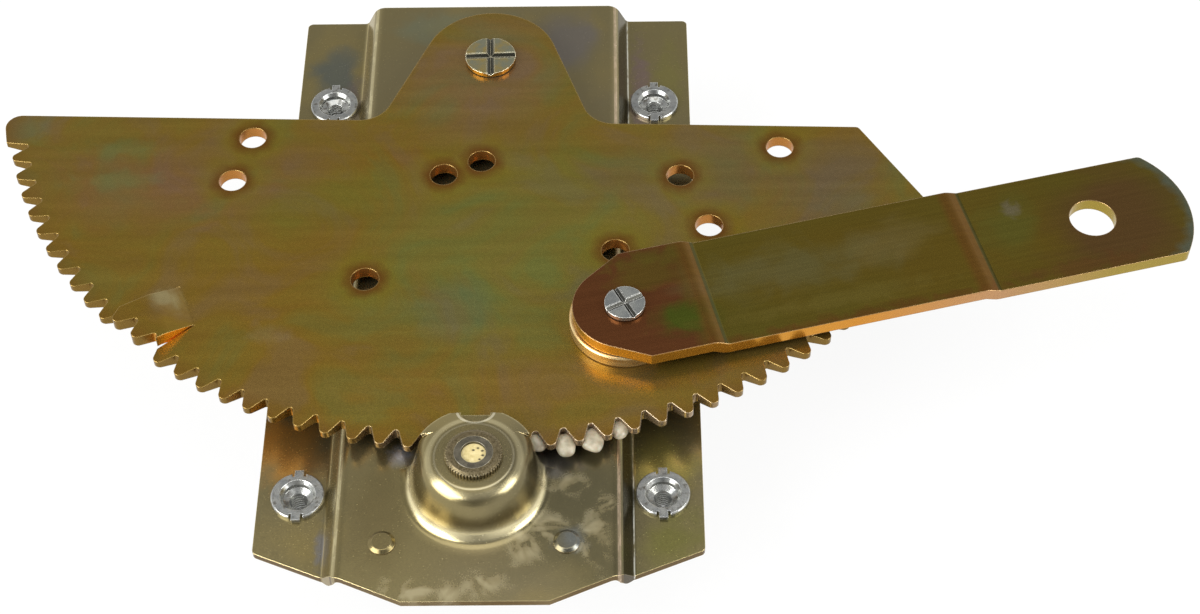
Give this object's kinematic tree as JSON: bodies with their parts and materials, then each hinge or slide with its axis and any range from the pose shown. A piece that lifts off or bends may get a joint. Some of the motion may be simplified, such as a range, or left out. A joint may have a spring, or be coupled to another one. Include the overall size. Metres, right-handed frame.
{
  "type": "window regulator",
  "caption": "Manual car-door window regulator: base plate with clinch nuts, toothed sector and pinion under a pressed dome, pivoted lift arm.",
  "frame": {"origin": "centre of the four nuts' rectangle, on the rear face of the base plate's flanges", "axes": "+Z out of the plate towards the window glass, +X across the plate towards the lift arm's end, +Y up the door"},
  "size_m": [0.3458, 0.2182, 0.063],
  "materials": {
    "yellow_zinc_steel": "yellow chromated zinc plating, satin",
    "yellow_zinc_plate": "pale yellow chromated zinc plating, satin",
    "pale_gold_zinc_steel": "pale gold chromated zinc plating, turned",
    "bright_zinc_steel": "bright zinc plating",
    "sintered_bronze": "dull, slightly oily",
    "hardened_steel": "plain machined, oiled",
    "spring_steel": "plain wound wire, oiled"
  },
  "bodies": {
    "base": {"base_plate": "yellow_zinc_plate", "mount_nut_upper_left": "bright_zinc_steel", "mount_nut_upper_right": "bright_zinc_steel", "mount_nut_lower_left": "bright_zinc_steel", "mount_nut_lower_right": "bright_zinc_steel", "sector_pivot_stud": "yellow_zinc_steel", "sector_pivot_spacer": "yellow_zinc_steel", "dome_bush": "sintered_bronze", "brake_drum": "yellow_zinc_plate", "drum_rivet_top": "yellow_zinc_plate", "drum_rivet_left": "yellow_zinc_plate", "drum_rivet_right": "yellow_zinc_plate", "rear_bush": "sintered_bronze"},
    "pinion": {"pinion_gear": "hardened_steel", "pinion_driver": "hardened_steel", "crank_spindle": "hardened_steel", "spindle_driver": "hardened_steel", "brake_spring": "spring_steel"},
    "sector": {"sector_gear": "yellow_zinc_steel", "arm_spacer": "pale_gold_zinc_steel", "arm_stud": "bright_zinc_steel"},
    "arm": {"lift_arm": "yellow_zinc_steel"}
  },
  "joints": [
    {"name": "sector_swing", "type": "hinge", "parent": "base", "child": "sector", "pos_m": [-0.0007, 0.0788, 0.01365], "axis": [0, 0, 1], "range_deg": [-22, 33.5]},
    {"name": "pinion_turn", "type": "hinge", "parent": "base", "child": "pinion", "pos_m": [-0.0007, -0.07345, 0.01365], "axis": [0, 0, 1], "range_deg": [-575, 372]},
    {"name": "arm_pivot", "type": "hinge", "parent": "sector", "child": "arm", "pos_m": [0.03932, -0.02427, 0.02155], "axis": [0, 0, 1], "range_deg": [-10, 60]}
  ],
  "couplings": [
    {"joint": "pinion_turn", "follows": "sector_swing", "ratio": -16.857}
  ]
}
